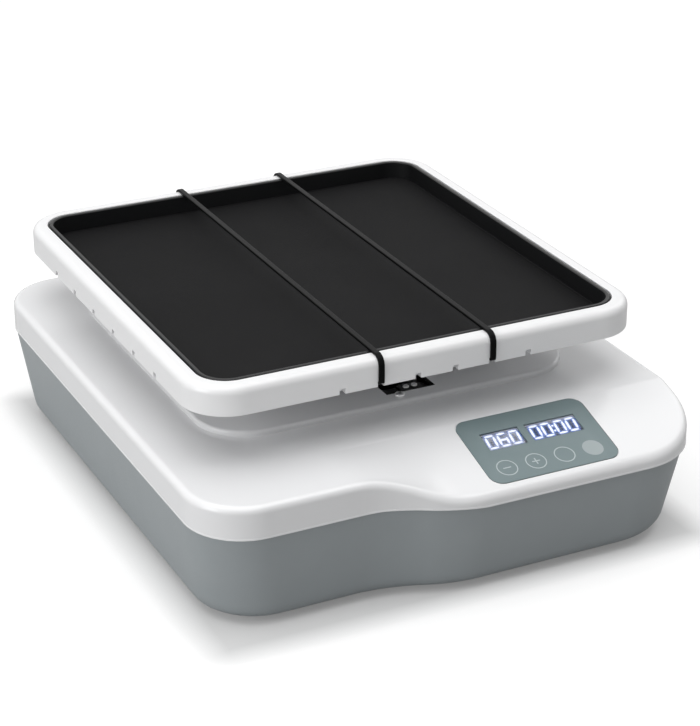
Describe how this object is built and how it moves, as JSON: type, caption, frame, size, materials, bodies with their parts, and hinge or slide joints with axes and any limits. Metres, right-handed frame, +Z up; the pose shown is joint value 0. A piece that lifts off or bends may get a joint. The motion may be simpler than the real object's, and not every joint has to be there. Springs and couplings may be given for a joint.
{
  "type": "rocking platform shaker",
  "caption": "Bench rocking shaker: rimmed white tray with black rubber mat and elastic bands, rocking on a shaft over a grey drafted base with a white cover and a sloped digital console.",
  "frame": {"origin": "on the ground, under the centre of the bounding box", "axes": "+Z up; -Y towards the user, where the console slopes down; +X to the right of the user; the tray rocks about a line parallel to Y"},
  "size_m": [0.2844, 0.333, 0.1196],
  "materials": {
    "cover_white": "glossy",
    "tray_white": "glossy",
    "tub_grey": "satin",
    "foot_rubber": "matte",
    "mat_rubber": "matte",
    "band_elastic": "satin",
    "screw_steel": "satin",
    "shaft_steel": "polished",
    "sheet_steel": "zinc plated",
    "machined_aluminium": "satin",
    "bush_bronze": "satin",
    "motor_metal": "satin",
    "overlay_grey": "satin",
    "led_black": "glossy",
    "led_lit": "lit",
    "key_print": "printed",
    "circuit_board": "satin",
    "black_plastic": "satin",
    "switch_black": "glossy"
  },
  "bodies": {
    "base": {"tub": "tub_grey", "top_cover": "cover_white", "base_feet": "foot_rubber", "foot_screws": "screw_steel", "cover_screws": "screw_steel", "control_panel": "overlay_grey", "speed_display": "led_black", "time_display": "led_black", "lit_segments": "led_lit", "key_marks": "key_print", "control_board": "circuit_board", "board_screws": "screw_steel", "drive_board": "circuit_board", "dc_inlet": "black_plastic", "switch_frame": "black_plastic", "support_frame": "sheet_steel", "frame_screws": "screw_steel", "motor_bracket": "sheet_steel", "gear_motor": "motor_metal", "motor_screws": "screw_steel", "pivot_block_front": "machined_aluminium", "pivot_block_rear": "machined_aluminium", "pivot_bushes": "bush_bronze", "block_screws": "screw_steel", "sensor_bracket": "black_plastic", "home_sensor": "black_plastic", "sensor_screws": "screw_steel", "opening_screw": "screw_steel"},
    "rocker": {"pivot_shaft": "shaft_steel", "tray_carrier": "machined_aluminium", "carrier_screws": "screw_steel", "drive_lug": "machined_aluminium", "lug_screws": "screw_steel", "lug_pin": "shaft_steel", "ear_screws": "screw_steel", "tray": "tray_white", "tray_mat": "mat_rubber", "band_left": "band_elastic", "band_right": "band_elastic"},
    "crank": {"crank_hub": "shaft_steel", "crank_set_screw": "screw_steel"},
    "rod": {"rod_bearing": "shaft_steel", "drive_rod": "machined_aluminium"},
    "switch": {"switch_rocker": "switch_black"}
  },
  "joints": [
    {"name": "tray_rock", "type": "hinge", "parent": "base", "child": "rocker", "pos_m": [0, 0.0225, 0.089], "axis": [0, 1, 0], "range_deg": [-7, 7]},
    {"name": "crank_turn", "type": "hinge", "parent": "base", "child": "crank", "pos_m": [0.0131, -0.057, 0.04], "axis": [0, 1, 0], "range_deg": [-90, 90]},
    {"name": "rod_swing", "type": "hinge", "parent": "crank", "child": "rod", "pos_m": [0.0148, -0.057, 0.04], "axis": [0, 1, 0], "range_deg": [-90, 90]},
    {"name": "switch_press", "type": "hinge", "parent": "base", "child": "switch", "pos_m": [0.082, 0.154, 0.03], "axis": [0, 0, 1], "range_deg": [0, 15]}
  ],
  "couplings": [
    {"joint": "crank_turn", "follows": "tray_rock", "ratio": 12.857},
    {"joint": "rod_swing", "follows": "tray_rock", "ratio": -12.857}
  ]
}
